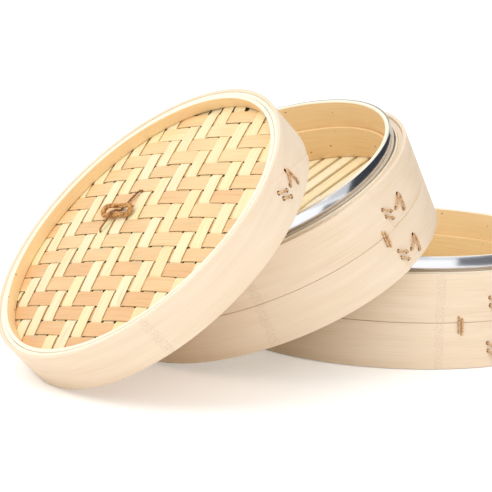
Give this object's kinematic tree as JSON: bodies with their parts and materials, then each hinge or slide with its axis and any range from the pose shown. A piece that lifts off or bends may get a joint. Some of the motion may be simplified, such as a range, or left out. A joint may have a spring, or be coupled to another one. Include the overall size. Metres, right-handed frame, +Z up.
{
  "type": "bamboo steamer basket set",
  "caption": "Round bamboo steamer taken apart: a flat basket, a second basket leaning on it, and a woven lid with a rattan loop.",
  "frame": {"origin": "on the floor, under the middle of the whole arrangement", "axes": "+Z up, +Y away from the side the lid faces, +X towards the flat basket"},
  "size_m": [0.4192, 0.4206, 0.1993],
  "materials": {
    "pale_bamboo": "sanded, unvarnished",
    "tan_bamboo": "sanded, unvarnished",
    "cream_bamboo": "smooth split bamboo",
    "cane": "split cane",
    "rattan": "twisted rattan",
    "steel": "polished stainless strip"
  },
  "bodies": {
    "lower_basket": {"lower_lip_hoop": "tan_bamboo", "lower_steel_band": "steel", "lower_core_hoop": "pale_bamboo", "lower_upper_band": "pale_bamboo", "lower_lower_band": "pale_bamboo", "lower_upper_lacing": "cane", "lower_lower_lacing": "cane", "lower_seam_stitch": "cane", "lower_liner_ring": "tan_bamboo", "lower_support_ring": "tan_bamboo", "lower_slat_1": "cream_bamboo", "lower_slat_2": "cream_bamboo", "lower_slat_3": "cream_bamboo", "lower_slat_4": "cream_bamboo", "lower_slat_5": "cream_bamboo", "lower_slat_6": "cream_bamboo", "lower_slat_7": "cream_bamboo", "lower_slat_8": "cream_bamboo", "lower_slat_9": "cream_bamboo", "lower_slat_10": "cream_bamboo", "lower_slat_11": "cream_bamboo", "lower_slat_12": "cream_bamboo", "lower_slat_13": "cream_bamboo", "lower_batten_1": "tan_bamboo", "lower_batten_2": "tan_bamboo"},
    "upper_basket": {"upper_lip_hoop": "tan_bamboo", "upper_steel_band": "steel", "upper_core_hoop": "pale_bamboo", "upper_upper_band": "pale_bamboo", "upper_lower_band": "pale_bamboo", "upper_upper_lacing": "cane", "upper_lower_lacing": "cane", "upper_seam_stitch": "cane", "upper_liner_ring": "tan_bamboo", "upper_support_ring": "tan_bamboo", "upper_slat_1": "cream_bamboo", "upper_slat_2": "cream_bamboo", "upper_slat_3": "cream_bamboo", "upper_slat_4": "cream_bamboo", "upper_slat_5": "cream_bamboo", "upper_slat_6": "cream_bamboo", "upper_slat_7": "cream_bamboo", "upper_slat_8": "cream_bamboo", "upper_slat_9": "cream_bamboo", "upper_slat_10": "cream_bamboo", "upper_slat_11": "cream_bamboo", "upper_slat_12": "cream_bamboo", "upper_slat_13": "cream_bamboo", "upper_batten_1": "tan_bamboo", "upper_batten_2": "tan_bamboo"},
    "lid": {"lid_outer_band": "pale_bamboo", "lid_core_hoop": "pale_bamboo", "lid_lacing": "cane", "lid_rim_ring": "tan_bamboo", "lid_retainer_ring": "tan_bamboo", "lid_woven_top": "cream_bamboo", "lid_under_layer": "tan_bamboo", "lid_handle_strand": "rattan"},
    "handle": {"lid_handle_loop": "rattan"}
  },
  "joints": [
    {"name": "upper_basket_lift", "type": "slide", "parent": "lower_basket", "child": "upper_basket", "axis": [-0.3825, -0.2235, 0.8965], "range_m": [0, 0.15]},
    {"name": "lid_lift", "type": "slide", "parent": "upper_basket", "child": "lid", "axis": [-0.616, -0.3471, 0.7071], "range_m": [0, 0.15]},
    {"name": "handle_swing", "type": "hinge", "parent": "lid", "child": "handle", "pos_m": [-0.12801, -0.06001, 0.10871], "axis": [0.622, -0.7652, 0.1663], "range_deg": [0, 130]}
  ]
}
